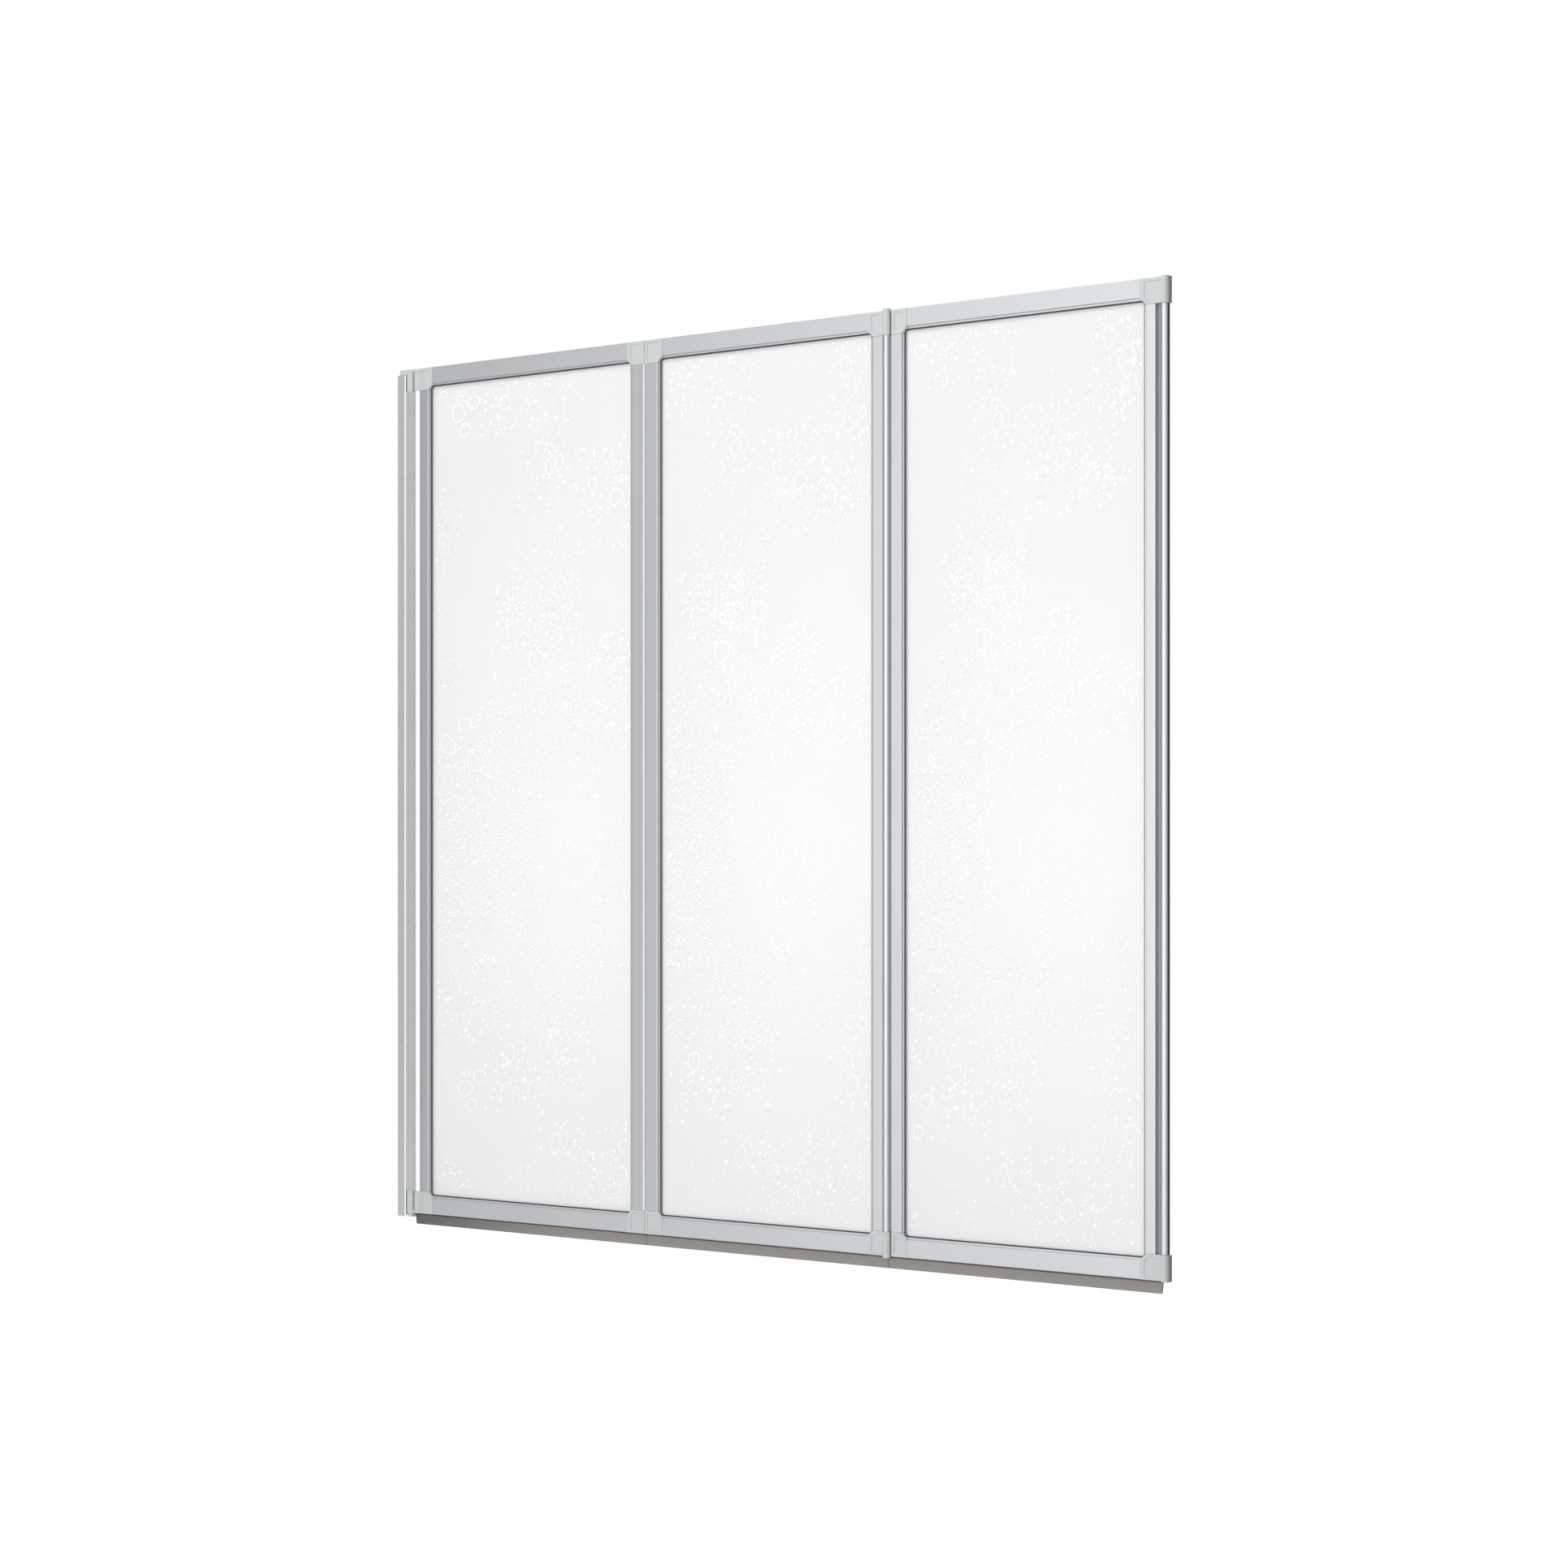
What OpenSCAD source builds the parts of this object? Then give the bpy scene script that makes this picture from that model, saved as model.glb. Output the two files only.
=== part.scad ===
// Folding bath screen: three framed panels, hinged to a post in a wall profile.
// X runs out from the wall along the screen and Z runs up from the bath rim.
// The bath is in front, on the -Y side. The origin lies on the wall, at the rim, mid-thickness.

/* [Screen] */
// Height of the frames' top edge above the bath rim
screen_h = 1210; // [800:10:1600]
// Height of the frames' lower edge above the bath rim
frame_lift = 6; // [5:0.5:9]
// Thickness of the screen over its corner pieces
frame_t = 16; // [15.5:0.1:17]
// Distance from the wall hinge to the first fold
span_1 = 424.5; // [250:0.5:600]
// Distance from the first fold to the second fold
span_2 = 401; // [250:0.5:600]
// Distance from the second fold to the free end
span_3 = 411.5; // [250:0.5:600]

/* [Wall side] */
// Depth of the wall profile
wall_profile_w = 15.5; // [14:0.5:18]
// Thickness of the wall profile's web and flanges
wall_profile_t = 1.8; // [1.5:0.1:2]
// Distance from the wall profile to the hinge axis
post_reach = 19.5; // [19:0.5:30]
// Radius of the wall screw holes
wall_hole_r = 2.75; // [2:0.05:3]
// Distance from the screen's ends to the outer wall screw holes
wall_hole_end = 155; // [60:5:250]
// Radius of the knuckles on the wall hinge
knuckle_r = 7.5; // [7:0.1:7.5]

/* [Extrusions] */
// Face width of the rails
rail_w = 23.5; // [22:0.5:32]
// Width of a fold stile from the fold's axis to its inner edge
fold_stile_w = 22.5; // [21.5:0.5:32]
// Width of the wall stile from the hinge axis to its inner edge
wall_stile_w = 25; // [24:0.5:34]
// Width of the end stile from the free end to its inner edge
end_stile_w = 30; // [29:0.5:40]
// Wall thickness of the extrusions
wall_t = 1.4; // [1.2:0.1:1.5]
// Depth of the glazing channel
channel_d = 5.5; // [5:0.1:6]
// Width of the lip in front of the pane
lip_w = 2.6; // [1.5:0.1:3]
// Depth of the lip below the extrusion's face
lip_drop = 2.5; // [2:0.1:2.7]
// Radius of the round grip along the free end
grip_r = 5.8; // [5.2:0.1:6.2]

/* [Corner pieces] */
// Width of a corner piece beyond the stile and the rail
corner_w = 8; // [6:0.5:12]
// Length of the tenons inside the extrusions
tenon_l = 20; // [16:1:40]
// Depth of the sunk field on a corner's face
field_d = 0.8; // [0.3:0.1:1]
// Width of the border around the sunk field
field_border = 4; // [3:0.5:4.5]

/* [Panes and seals] */
// Thickness of the pane
pane_t = 3; // [2.5:0.1:3.2]
// Width of the glazing strip that shows beyond the lip
bead_w = 1.4; // [1:0.1:2.5]
// Height of the seal that hangs below the frame
seal_drop = 15.5; // [8:0.5:20]
// Thickness of the hanging seal
seal_t = 2; // [1.5:0.1:2]

/* [Folds] */
// Radius of the plastic barrels on the corners
barrel_r = 5.35; // [5:0.05:5.5]
// Radius of the aluminium tube between the barrels
tube_r = 4.75; // [4.3:0.05:5]
// Radius of the hinge pins
pin_r = 2.5; // [2:0.1:2.7]
// Length of a hinge pin inside the tube or the post
pin_reach = 22; // [12:1:60]
// Height by which a barrel stands beyond the frame's edge
barrel_over = 2; // [1.5:0.1:3]

/* [Hidden] */
$fn = 64;

// Colours
ALUMINIUM = [0.74, 0.75, 0.77];
GREY_PLASTIC = [0.80, 0.82, 0.81];
PANE = [0.94, 0.94, 0.95];
STRIP = [0.20, 0.20, 0.20];
SEAL = [0.45, 0.41, 0.38];
STEEL = [0.60, 0.61, 0.62];

// Clearances
fold_gap = 0.4;      // a panel's edge to the plane through the fold's axis
axis_out = 0.3;      // a fold's axis beyond the face of the corner pieces
barrel_gap = 0.65;   // barrel to the pocket beside it
pin_play = 0.05;     // pin in its bores
turn_gap = 0.4;      // ends of parts that turn on each other
nose_gap = 1;        // wall hinge's knuckles to the first panel
fit = 0.2;           // parts slid into each other in one panel
slot_play = 0.15;    // pane in a corner's slot and seal in its groove
seam = 0.25;         // ends of the extrusions to the corner pieces
seal_gap = 0.5;      // bottom seal to the corner pieces above it
insert_play = 0.25;  // post in the wall profile

// Places along the screen
axis_x = wall_profile_w + post_reach;
fold_1_x = axis_x + span_1;
fold_2_x = fold_1_x + span_2;
end_x = fold_2_x + span_3;

// Depths, measured from the screen's middle plane
half_t = frame_t / 2;
face_y = half_t - 0.3;
lip_y = face_y - lip_drop;
channel_y = pane_t / 2 + 0.9;
chamber_y = face_y - wall_t;
axis_y = half_t + axis_out;
pocket_y = axis_y - barrel_r - barrel_gap;

// Widths, measured from a panel's datum towards its pane
pocket_w = barrel_r + 1.55;
stile_1_edge = knuckle_r + nose_gap;
grip_zone = 16.5;
grip_set = 1.7;
corner_h = rail_w + corner_w;
lip_all = lip_w + bead_w;
pane_in = channel_d - 0.5;

// Edge radii
soft_r = 1.2;
edge_r = 1.3;
end_r = 6.5;

// Round end beyond its corner's plate
end_w = end_r + 1.5;
end_over = 1.2;

// Seal's blade and flange, measured from the middle plane and the frame's lower edge
blade_y = -3.3;
flange_y = -4.5;
flange_z = -1.7;
flange_lead = 1.2;

// Post
cap_x = wall_profile_w + 2.9;
step_x = -6;
insert_gap = 5;
insert_y = half_t - wall_profile_t - insert_play;
plate_t = 4;

// Screws
screw_r = 1.45;
head_r = 2.7;
screw_in = 9;
slot_w = 0.8;

// ---------------------------------------------------------------- placing

// Gives a drawing in X and Z a thickness in Y
module slab(y0, y1) {
    translate([0, y1, 0]) rotate([90, 0, 0]) linear_extrude(y1 - y0) children();
}

// Runs a section, drawn as height and depth, along X
module along(x0, x1) {
    translate([x1, 0, 0]) rotate([0, -90, 0]) linear_extrude(x1 - x0) children();
}

// Runs a section, drawn as width and depth, along Z
module upright(z0, z1) {
    translate([0, 0, z0]) linear_extrude(z1 - z0) children();
}

// Puts Z = 0 on the frame's top or lower edge, with +Z into the frame
module at_top() {
    translate([0, 0, screen_h]) mirror([0, 0, 1]) children();
}

module at_bottom() {
    translate([0, 0, frame_lift]) children();
}

// Puts X = 0 on a panel's left or right datum, with +X towards its pane
module at_left(x) {
    translate([x, 0, 0]) children();
}

module at_right(x) {
    translate([x, 0, 0]) mirror([1, 0, 0]) children();
}

// Turns a part with its hinge at the back to have it in front
module to_front() {
    mirror([0, 1, 0]) children();
}

// ---------------------------------------------------------------- sections

// Bar with its four edges rounded
module bar(x0, x1, y, r0, r1) {
    for (s = [-1, 1]) {
        translate([x0 + r0, s * (y - r0)]) circle(r0);
        translate([x1 - r1, s * (y - r1)]) circle(r1);
    }
    translate([x0, r0 - y]) square([r0, 2 * (y - r0)]);
    translate([x0 + r0, -y]) square([x1 - x0 - r0 - r1, 2 * y]);
    translate([x1 - r1, r1 - y]) square([r1, 2 * (y - r1)]);
}

// Outside of a frame extrusion, with the lips along its inner edge
module shell(x0, face) {
    bar(x0, face, face_y, edge_r, soft_r);
    translate([face - wall_t, -lip_y]) square([wall_t + lip_w, 2 * lip_y]);
}

// Hollow of a frame extrusion and its glazing channel
module hollow(x0, face) {
    difference() {
        translate([x0 + wall_t, -chamber_y]) square([face - x0 - 2 * wall_t, 2 * chamber_y]);
        translate([face - channel_d - wall_t, -channel_y - wall_t])
            square([channel_d + wall_t, 2 * (channel_y + wall_t)]);
    }
    translate([face - channel_d, -channel_y]) square([channel_d + lip_w + 1, 2 * channel_y]);
}

module rail_section() {
    difference() {
        shell(0, rail_w);
        hollow(0, rail_w);
    }
}

module slotted_rail_section() {
    difference() {
        rail_section();
        translate([-1, -seal_t / 2 - slot_play]) square([wall_t + 2, seal_t + 2 * slot_play]);
    }
}

// Stile next to a fold, stepped back behind the hinge
module fold_section() {
    difference() {
        shell(fold_gap, fold_stile_w);
        hollow(pocket_w, fold_stile_w);
        translate([-1, pocket_y]) square([pocket_w + 1, half_t]);
        translate([fold_gap + wall_t, -chamber_y]) square([pocket_w, chamber_y + pocket_y - wall_t]);
    }
}

// Hinge tube with the web that joins it to its stile
module tube_section() {
    difference() {
        union() {
            translate([0, axis_y]) circle(tube_r);
            translate([3, half_t - 4]) square([pocket_w - 2, 2.5]);
        }
        translate([0, axis_y]) circle(pin_r + pin_play);
    }
}

// Stile next to the wall hinge, with a fine line along its edge
module wall_section() {
    difference() {
        shell(stile_1_edge, wall_stile_w);
        hollow(stile_1_edge, wall_stile_w);
        for (s = [-1, 1]) {
            translate([stile_1_edge + 3.6, s * face_y - 0.4]) square([0.7, 0.8]);
        }
    }
}

// Stile along the free end, with the round grip on its neck
module end_section() {
    difference() {
        union() {
            shell(grip_zone, end_stile_w);
            translate([grip_set + grip_r, 0]) circle(grip_r);
            translate([grip_set + grip_r, -1.9]) square([grip_zone - grip_set - grip_r + 0.5, 3.8]);
        }
        hollow(grip_zone, end_stile_w);
        translate([grip_set + grip_r, 0]) circle(grip_r - wall_t);
    }
}

// Post that carries the wall hinge, drawn from the hinge's axis
module nose_outline(y) {
    translate([cap_x - axis_x, -y]) square([axis_x - cap_x + step_x, 2 * y]);
    translate([step_x - 1, -knuckle_r]) square([1 - step_x, knuckle_r + face_y]);
    circle(knuckle_r);
    square([knuckle_r, face_y]);
}

module post_section() {
    difference() {
        union() {
            nose_outline(face_y);
            translate([insert_gap - axis_x, -insert_y]) square([cap_x - insert_gap + 1, 2 * insert_y]);
        }
        translate([insert_gap + wall_t - axis_x, wall_t - insert_y])
            square([cap_x - insert_gap - wall_t, 2 * (insert_y - wall_t)]);
        post_chamber(0);
        translate([-3.5, -knuckle_r - 1]) square([2.5, 3]);
        circle(pin_r + pin_play);
    }
}

module post_chamber(play) {
    x0 = cap_x + wall_t + play - axis_x;
    translate([x0, play - chamber_y]) square([step_x - 1.9 - play - x0, 2 * (chamber_y - play)]);
}

// ---------------------------------------------------------------- screws

// Countersunk hole from the back, drawn along Y from the face
module screw_hole(face, through) {
    translate([0, face, 0]) rotate([90, 0, 0]) cylinder(h = head_r - screw_r, r1 = head_r, r2 = screw_r);
    translate([0, face + 1, 0]) rotate([90, 0, 0]) cylinder(h = through + 1, r = screw_r);
    translate([0, face + 1, 0]) rotate([90, 0, 0]) cylinder(h = 1, r = head_r);
}

module screw(face, length) {
    difference() {
        union() {
            translate([0, face, 0]) rotate([90, 0, 0]) cylinder(h = head_r - screw_r, r1 = head_r, r2 = screw_r);
            translate([0, face - 0.5, 0]) rotate([90, 0, 0]) cylinder(h = length - 0.5, r = screw_r);
        }
        translate([-slot_w / 2, face - 0.7, -head_r]) cube([slot_w, 1, 2 * head_r]);
    }
}

// Places of the two screws in a corner, drawn from the corner's datum
module at_stile_screw(x0, face) {
    x = (x0 + face - channel_d) / 2;
    translate([x, 0, corner_h + screw_in]) children();
}

module at_rail_screw(face) {
    translate([face + corner_w + screw_in, 0, (rail_w - channel_d) / 2]) children();
}

module at_corner_screws(x0, face) {
    at_top() at_stile_screw(x0, face) children();
    at_top() at_rail_screw(face) children();
    at_bottom() at_stile_screw(x0, face) children();
    at_bottom() at_rail_screw(face) children();
}

// ---------------------------------------------------------------- extrusions

// Stile between its corner pieces, with the screw holes at both ends
module stile(x0, face) {
    difference() {
        upright(frame_lift + corner_h + seam, screen_h - corner_h - seam) children();
        at_top() at_stile_screw(x0, face) screw_hole(face_y, wall_t + 2);
        at_bottom() at_stile_screw(x0, face) screw_hole(face_y, wall_t + 2);
    }
}

module fold_stile() {
    stile(pocket_w, fold_stile_w) fold_section();
}

module front_fold_stile() {
    stile(pocket_w, fold_stile_w) mirror([0, 1, 0]) fold_section();
}

module tube() {
    upright(frame_lift + corner_h + turn_gap, screen_h - corner_h - turn_gap) tube_section();
}

// Rail between the corner pieces of the panel from x0 to x1, measured at the stiles' inner edges
module rail(x0, x1) {
    difference() {
        along(x0 + corner_w + seam, x1 - corner_w - seam) children();
        at_left(x0) at_rail_screw(0) screw_hole(face_y, wall_t + 2);
        at_right(x1) at_rail_screw(0) screw_hole(face_y, wall_t + 2);
    }
}

// ---------------------------------------------------------------- corner pieces

// Outlines in the pane's corner, drawn as width and height: a chamfered plate over a rounded lip
module plate_outline(x0, face) {
    polygon([
        [x0, 0], [face + corner_w, 0], [face + corner_w, rail_w], [face, corner_h], [x0, corner_h]
    ]);
}

module lip_outline(x0, face) {
    difference() {
        translate([x0, 0]) square([face + corner_w - x0, corner_h]);
        translate([face + corner_w, corner_h]) circle(corner_w - lip_w);
    }
}

module field_outline(x0, face) {
    x1 = face + corner_w - field_border - 2;
    polygon([
        [x0, field_border], [x1, field_border], [x1, corner_h - 2 * field_border],
        [x1 - field_border, corner_h - field_border], [x0, corner_h - field_border]
    ]);
}

// Block with the pane's slot, the sunk fields that start at front_x and back_x, and the tenons
module corner_block(x0, chamber_x, face, front_x, back_x) {
    difference() {
        intersection() {
            union() {
                slab(-half_t, half_t) plate_outline(x0, face);
                slab(-lip_y, lip_y) lip_outline(x0, face);
            }
            along(x0, face + corner_w) bar(0, corner_h + 2, half_t, soft_r, soft_r);
        }
        translate([face - channel_d, -pane_t / 2 - slot_play, rail_w - channel_d])
            cube([corner_w + channel_d + 1, pane_t + 2 * slot_play, corner_h]);
        slab(-half_t - 1, field_d - half_t) field_outline(front_x, face);
        slab(half_t - field_d, half_t + 1) field_outline(back_x, face);
    }
    tenons(chamber_x, face);
}

module tenons(chamber_x, face) {
    y = chamber_y - fit;
    x0 = chamber_x + wall_t + fit;
    x1 = face - channel_d - wall_t - fit;
    z1 = rail_w - channel_d - wall_t - fit;
    difference() {
        union() {
            translate([x0, -y, corner_h - 1]) cube([x1 - x0, 2 * y, tenon_l + 1]);
            translate([face + corner_w - 1, -y, 5]) cube([tenon_l + 1, 2 * y, z1 - 5]);
        }
        at_stile_screw(chamber_x, face) screw_hole(face_y, screw_in);
        at_rail_screw(face) screw_hole(face_y, screw_in);
    }
}

// Block beside a fold, whose hinge is at the back or in front
module back_hinge_block() {
    edge = fold_gap + field_border;
    corner_block(fold_gap, pocket_w, fold_stile_w, edge, pocket_w + field_border);
}

module front_hinge_block() {
    edge = fold_gap + field_border;
    corner_block(fold_gap, pocket_w, fold_stile_w, pocket_w + field_border, edge);
}

module corner_pocket() {
    translate([-1, pocket_y, -1]) cube([pocket_w + 1, half_t, corner_h + 2]);
}

// Barrel with a rounded end
module barrel() {
    translate([0, axis_y, -barrel_over]) rotate_extrude() {
        square([barrel_r - soft_r, corner_h + barrel_over]);
        translate([0, soft_r]) square([barrel_r, corner_h + barrel_over - soft_r]);
        intersection() {
            translate([barrel_r - soft_r, soft_r]) circle(soft_r);
            square([barrel_r, corner_h]);
        }
    }
}

module barrel_bore() {
    translate([0, axis_y, 1 - barrel_over]) cylinder(h = corner_h + barrel_over, r = pin_r + pin_play);
}

// Corner beside the tube, stepped back behind the barrel
module tube_corner() {
    difference() {
        back_hinge_block();
        corner_pocket();
    }
}

module front_tube_corner() {
    difference() {
        front_hinge_block();
        to_front() corner_pocket();
    }
}

// Corner with the barrel that holds the fold's pin
module barrel_corner() {
    difference() {
        union() {
            back_hinge_block();
            barrel();
        }
        barrel_bore();
    }
}

module front_barrel_corner() {
    difference() {
        union() {
            front_hinge_block();
            to_front() barrel();
        }
        to_front() barrel_bore();
    }
}

module wall_block(field_x) {
    corner_block(stile_1_edge, stile_1_edge, wall_stile_w, field_x, field_x);
}

// Corner with the knuckle that turns between the post and its cap
module wall_corner() {
    z0 = plate_t + turn_gap;
    z1 = corner_h - turn_gap;
    difference() {
        union() {
            wall_block(stile_1_edge + field_border);
            translate([0, 0, z0]) cylinder(h = z1 - z0, r = knuckle_r);
            translate([2, -5, z0]) cube([stile_1_edge, 10, z1 - z0]);
        }
        translate([0, 0, z0 - 1]) cylinder(h = z1 - z0 + 2, r = pin_r + pin_play);
    }
}

// Corner with the round end, which stands a little beyond the plate
module end_corner() {
    corner_block(end_w - 1, grip_zone, end_stile_w, end_w, end_w);
    translate([0, 0, -end_over]) intersection() {
        upright(0, corner_h + end_over) bar(0, end_w, half_t, end_r, 0.1);
        along(0, end_w) bar(0, corner_h + 2, half_t, soft_r, soft_r);
        slab(-half_t, half_t) end_outline(corner_h + 2);
    }
}

module end_outline(h) {
    translate([soft_r, soft_r]) circle(soft_r);
    translate([soft_r, 0]) square([end_w, h]);
    translate([0, soft_r]) square([end_w, h - soft_r]);
}

// ---------------------------------------------------------------- seals

// Pane that reaches into the channels of the frame from x0 to x1
module pane(x0, x1) {
    z0 = frame_lift + rail_w - pane_in;
    z1 = screen_h - rail_w + pane_in;
    translate([x0 - pane_in, -pane_t / 2, z0]) cube([x1 - x0 + 2 * pane_in, pane_t, z1 - z0]);
}

// Strip pressed between the pane and both lips
module strip_section() {
    strip_t = channel_y - pane_t / 2;
    for (y = [-channel_y, pane_t / 2]) {
        translate([-4, y]) square([lip_all + 4, strip_t]);
    }
}

// Opening of the frame from x0 to x1, made smaller by an inset
module opening(x0, x1, inset) {
    r = corner_w - inset;
    mid = (screen_h + frame_lift) / 2;
    translate([0, mid]) bar(x0 + inset, x1 - inset, mid - frame_lift - rail_w - inset, r, r);
}

// Bead that shows between a lip and the pane, from y0 to y1
module bead(x0, x1, y0, y1) {
    slab(y0, y1) difference() {
        opening(x0, x1, lip_w);
        opening(x0, x1, lip_all);
    }
}

module glazing_strips(x0, x1) {
    at_left(x0) upright(frame_lift + corner_h, screen_h - corner_h) strip_section();
    at_right(x1) upright(frame_lift + corner_h, screen_h - corner_h) strip_section();
    at_top() along(x0 + corner_w, x1 - corner_w) translate([rail_w, 0]) strip_section();
    at_bottom() along(x0 + corner_w, x1 - corner_w) translate([rail_w, 0]) strip_section();
    bead(x0, x1, 0.6 - lip_y, -pane_t / 2);
    bead(x0, x1, pane_t / 2, lip_y - 0.6);
}

// Seal from x0 to x1, whose blade narrows by cut0 and cut1 towards its tip,
// with the head that holds it in the rail from x2 to x3
module bottom_seal(x0, x1, x2, x3, cut0, cut1) {
    top = -seal_gap;
    at_bottom() {
        slab(blade_y, blade_y + seal_t)
            polygon([[x0, top], [x1, top], [x1 - cut1, -seal_drop], [x0 + cut0, -seal_drop]]);
        along(cut0 > 0 ? x0 - flange_lead : x0, x1)
            translate([flange_z, flange_y]) square([top - flange_z, seal_t / 2 - flange_y]);
        along(x2, x3) translate([top - 0.5, -seal_t / 2]) square([wall_t + seal_gap + 1, seal_t]);
        along(x2, x3) translate([wall_t, -3]) square([2, 6]);
    }
}

// Room for the barrel of the fold at x
module barrel_room(x) {
    translate([x, -axis_y, frame_lift - barrel_over - seal_gap]) cylinder(h = 10, r = barrel_r + barrel_gap);
}

// ---------------------------------------------------------------- wall side

module wall_profile() {
    top = screen_h - 7;
    color(ALUMINIUM) difference() {
        upright(0, top) bar(0, wall_profile_w, half_t, 0.3, wall_profile_t - 0.1);
        translate([wall_profile_t, wall_profile_t - half_t, -1])
            cube([wall_profile_w, frame_t - 2 * wall_profile_t, top + 2]);
        for (i = [-3, -1, 1, 3]) {
            translate([-1, 0, screen_h / 2 + i * (screen_h / 2 - wall_hole_end) / 3])
                rotate([0, 90, 0]) cylinder(h = wall_profile_t + 2, r = wall_hole_r);
        }
        at_adjusting_screws() screw_hole(half_t, wall_profile_t + 1);
    }
}

module at_adjusting_screws() {
    for (z = [90, screen_h / 2 - 60, screen_h - 110]) {
        translate([wall_profile_w / 2 + 2.5, 0, z]) children();
    }
}

module adjusting_screws() {
    color(STEEL) at_adjusting_screws() screw(half_t, 6);
}

module hinge_post() {
    color(ALUMINIUM) difference() {
        at_left(axis_x) upright(frame_lift + corner_h, screen_h - corner_h) post_section();
        at_adjusting_screws() screw_hole(half_t, half_t);
    }
}

// Cap on the post's end, drawn from the hinge's axis with +Z into the frame
module post_cap() {
    x0 = cap_x - axis_x;
    difference() {
        union() {
            translate([x0, -half_t, 0]) cube([step_x - x0, frame_t, corner_h]);
            upright(0, plate_t) nose_outline(half_t);
            upright(corner_h - 1, corner_h + tenon_l) post_chamber(fit);
        }
        translate([0, 0, plate_t]) cylinder(h = corner_h, r = knuckle_r + turn_gap);
        translate([0, 0, -1]) cylinder(h = plate_t + 2, r = pin_r + pin_play);
    }
}

module post_cap_top() {
    color(GREY_PLASTIC) {
        at_left(axis_x) at_top() post_cap();
        translate([insert_gap - 0.2, -half_t, screen_h - 6.7]) cube([cap_x - insert_gap + 1.2, frame_t, 6.7]);
    }
}

module post_cap_bottom() {
    color(GREY_PLASTIC) {
        at_left(axis_x) at_bottom() post_cap();
        translate([cap_x, -6, 0]) cube([axis_x + step_x - 2.3 - cap_x, 12, frame_lift + 1]);
    }
}

// Pin of the wall hinge, drawn with +Z into the frame
module wall_pin() {
    translate([axis_x, 0, 0.3]) cylinder(h = corner_h + pin_reach - 0.3, r = pin_r);
}

module wall_pin_top() {
    color(STEEL) at_top() wall_pin();
}

module wall_pin_bottom() {
    color(STEEL) at_bottom() wall_pin();
}

// Pin of a fold, drawn with +Z into the frame
module fold_pin(x, y) {
    translate([x, y, 1 - barrel_over]) cylinder(h = corner_h + barrel_over - 1 + pin_reach, r = pin_r);
}

module fold_1_pin_top() {
    color(STEEL) at_top() fold_pin(fold_1_x, axis_y);
}

module fold_1_pin_bottom() {
    color(STEEL) at_bottom() fold_pin(fold_1_x, axis_y);
}

module fold_2_pin_top() {
    color(STEEL) at_top() fold_pin(fold_2_x, -axis_y);
}

module fold_2_pin_bottom() {
    color(STEEL) at_bottom() fold_pin(fold_2_x, -axis_y);
}

// ---------------------------------------------------------------- panel 1

pane_1_x0 = axis_x + wall_stile_w;
pane_1_x1 = fold_1_x - fold_stile_w;

module panel_1_left_stile() {
    color(ALUMINIUM) at_left(axis_x) stile(stile_1_edge, wall_stile_w) wall_section();
}

module panel_1_right_stile() {
    color(ALUMINIUM) at_right(fold_1_x) fold_stile();
}

module panel_1_top_rail() {
    color(ALUMINIUM) at_top() rail(pane_1_x0, pane_1_x1) rail_section();
}

module panel_1_bottom_rail() {
    color(ALUMINIUM) at_bottom() rail(pane_1_x0, pane_1_x1) slotted_rail_section();
}

module panel_1_corner_top_left() {
    color(GREY_PLASTIC) at_left(axis_x) at_top() wall_corner();
}

module panel_1_corner_top_right() {
    color(GREY_PLASTIC) at_right(fold_1_x) at_top() barrel_corner();
}

module panel_1_corner_bottom_left() {
    color(GREY_PLASTIC) at_left(axis_x) at_bottom() wall_corner();
}

module panel_1_corner_bottom_right() {
    color(GREY_PLASTIC) at_right(fold_1_x) at_bottom() barrel_corner();
}

module panel_1_pane() {
    color(PANE) pane(pane_1_x0, pane_1_x1);
}

module panel_1_glazing_strips() {
    color(STRIP) glazing_strips(pane_1_x0, pane_1_x1);
}

module panel_1_bottom_seal() {
    color(SEAL) bottom_seal(axis_x - 4, fold_1_x - fold_gap, pane_1_x0 + corner_w, pane_1_x1 - corner_w, 2, 0);
}

module panel_1_corner_screws() {
    color(STEEL) {
        at_left(axis_x) at_corner_screws(stile_1_edge, wall_stile_w) screw(face_y, screw_in);
        at_right(fold_1_x) at_corner_screws(pocket_w, fold_stile_w) screw(face_y, screw_in);
    }
}

// ---------------------------------------------------------------- panel 2

pane_2_x0 = fold_1_x + fold_stile_w;
pane_2_x1 = fold_2_x - fold_stile_w;

module panel_2_left_stile() {
    color(ALUMINIUM) at_left(fold_1_x) {
        fold_stile();
        tube();
    }
}

module panel_2_right_stile() {
    color(ALUMINIUM) at_right(fold_2_x) front_fold_stile();
}

module panel_2_top_rail() {
    color(ALUMINIUM) at_top() rail(pane_2_x0, pane_2_x1) rail_section();
}

module panel_2_bottom_rail() {
    color(ALUMINIUM) at_bottom() rail(pane_2_x0, pane_2_x1) slotted_rail_section();
}

module panel_2_corner_top_left() {
    color(GREY_PLASTIC) at_left(fold_1_x) at_top() tube_corner();
}

module panel_2_corner_top_right() {
    color(GREY_PLASTIC) at_right(fold_2_x) at_top() front_barrel_corner();
}

module panel_2_corner_bottom_left() {
    color(GREY_PLASTIC) at_left(fold_1_x) at_bottom() tube_corner();
}

module panel_2_corner_bottom_right() {
    color(GREY_PLASTIC) at_right(fold_2_x) at_bottom() front_barrel_corner();
}

module panel_2_pane() {
    color(PANE) pane(pane_2_x0, pane_2_x1);
}

module panel_2_glazing_strips() {
    color(STRIP) glazing_strips(pane_2_x0, pane_2_x1);
}

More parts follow.
